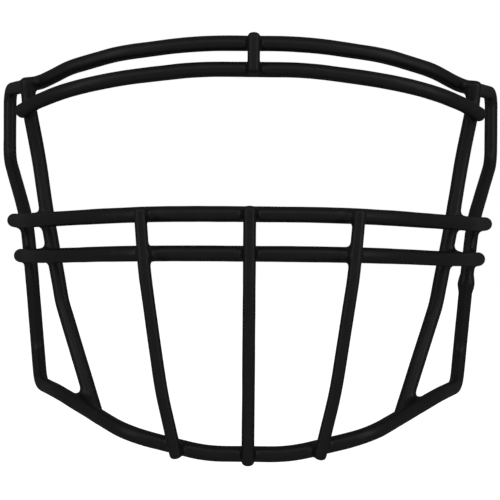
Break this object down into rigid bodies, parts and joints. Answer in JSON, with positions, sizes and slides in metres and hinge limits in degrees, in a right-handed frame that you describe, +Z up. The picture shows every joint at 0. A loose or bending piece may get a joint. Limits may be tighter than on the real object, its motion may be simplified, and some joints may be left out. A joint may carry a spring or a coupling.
{
  "type": "american football face guard",
  "caption": "Wire face guard for an american football helmet: bent steel rods, lapped and welded into a cage, dipped in black polymer.",
  "frame": {"origin": "on the centre line of the upper brow bar, at its middle, where the helmet's centre clips hold the guard", "axes": "+X to the right of someone facing the guard, +Y back towards the wearer, +Z up"},
  "size_m": [0.2662, 0.1614, 0.1904],
  "materials": {
    "coated_rod": "black polymer dip coat on steel, satin, slightly mottled",
    "coated_weld": "the same black dip coat where it pools over the welds, satin and softer"
  },
  "bodies": {
    "root": {"perimeter_loop": "coated_rod", "brow_bar_lower": "coated_rod", "bull_bar_upper": "coated_rod", "bull_bar_lower": "coated_rod", "side_upright_left": "coated_rod", "side_upright_right": "coated_rod", "jaw_upright_left": "coated_rod", "jaw_upright_right": "coated_rod", "centre_upright": "coated_rod", "brow_strut": "coated_rod", "weld_brow_upper_upright_left": "coated_weld", "weld_brow_lower_upright_left": "coated_weld", "weld_bull_upper_end_left": "coated_weld", "weld_bull_upper_upright_left": "coated_weld", "weld_bull_upper_jaw_left": "coated_weld", "weld_bull_lower_end_left": "coated_weld", "weld_bull_lower_upright_left": "coated_weld", "weld_bull_lower_jaw_left": "coated_weld", "weld_chin_upright_left": "coated_weld", "weld_chin_jaw_left": "coated_weld", "weld_brow_upper_upright_right": "coated_weld", "weld_brow_lower_upright_right": "coated_weld", "weld_bull_upper_end_right": "coated_weld", "weld_bull_upper_upright_right": "coated_weld", "weld_bull_upper_jaw_right": "coated_weld", "weld_bull_lower_end_right": "coated_weld", "weld_bull_lower_upright_right": "coated_weld", "weld_bull_lower_jaw_right": "coated_weld", "weld_chin_upright_right": "coated_weld", "weld_chin_jaw_right": "coated_weld", "weld_bull_upper_centre": "coated_weld", "weld_bull_lower_centre": "coated_weld", "weld_chin_centre": "coated_weld", "weld_strut_upper": "coated_weld", "weld_strut_lower": "coated_weld", "weld_perimeter_butt": "coated_weld"}
  },
  "joints": []
}
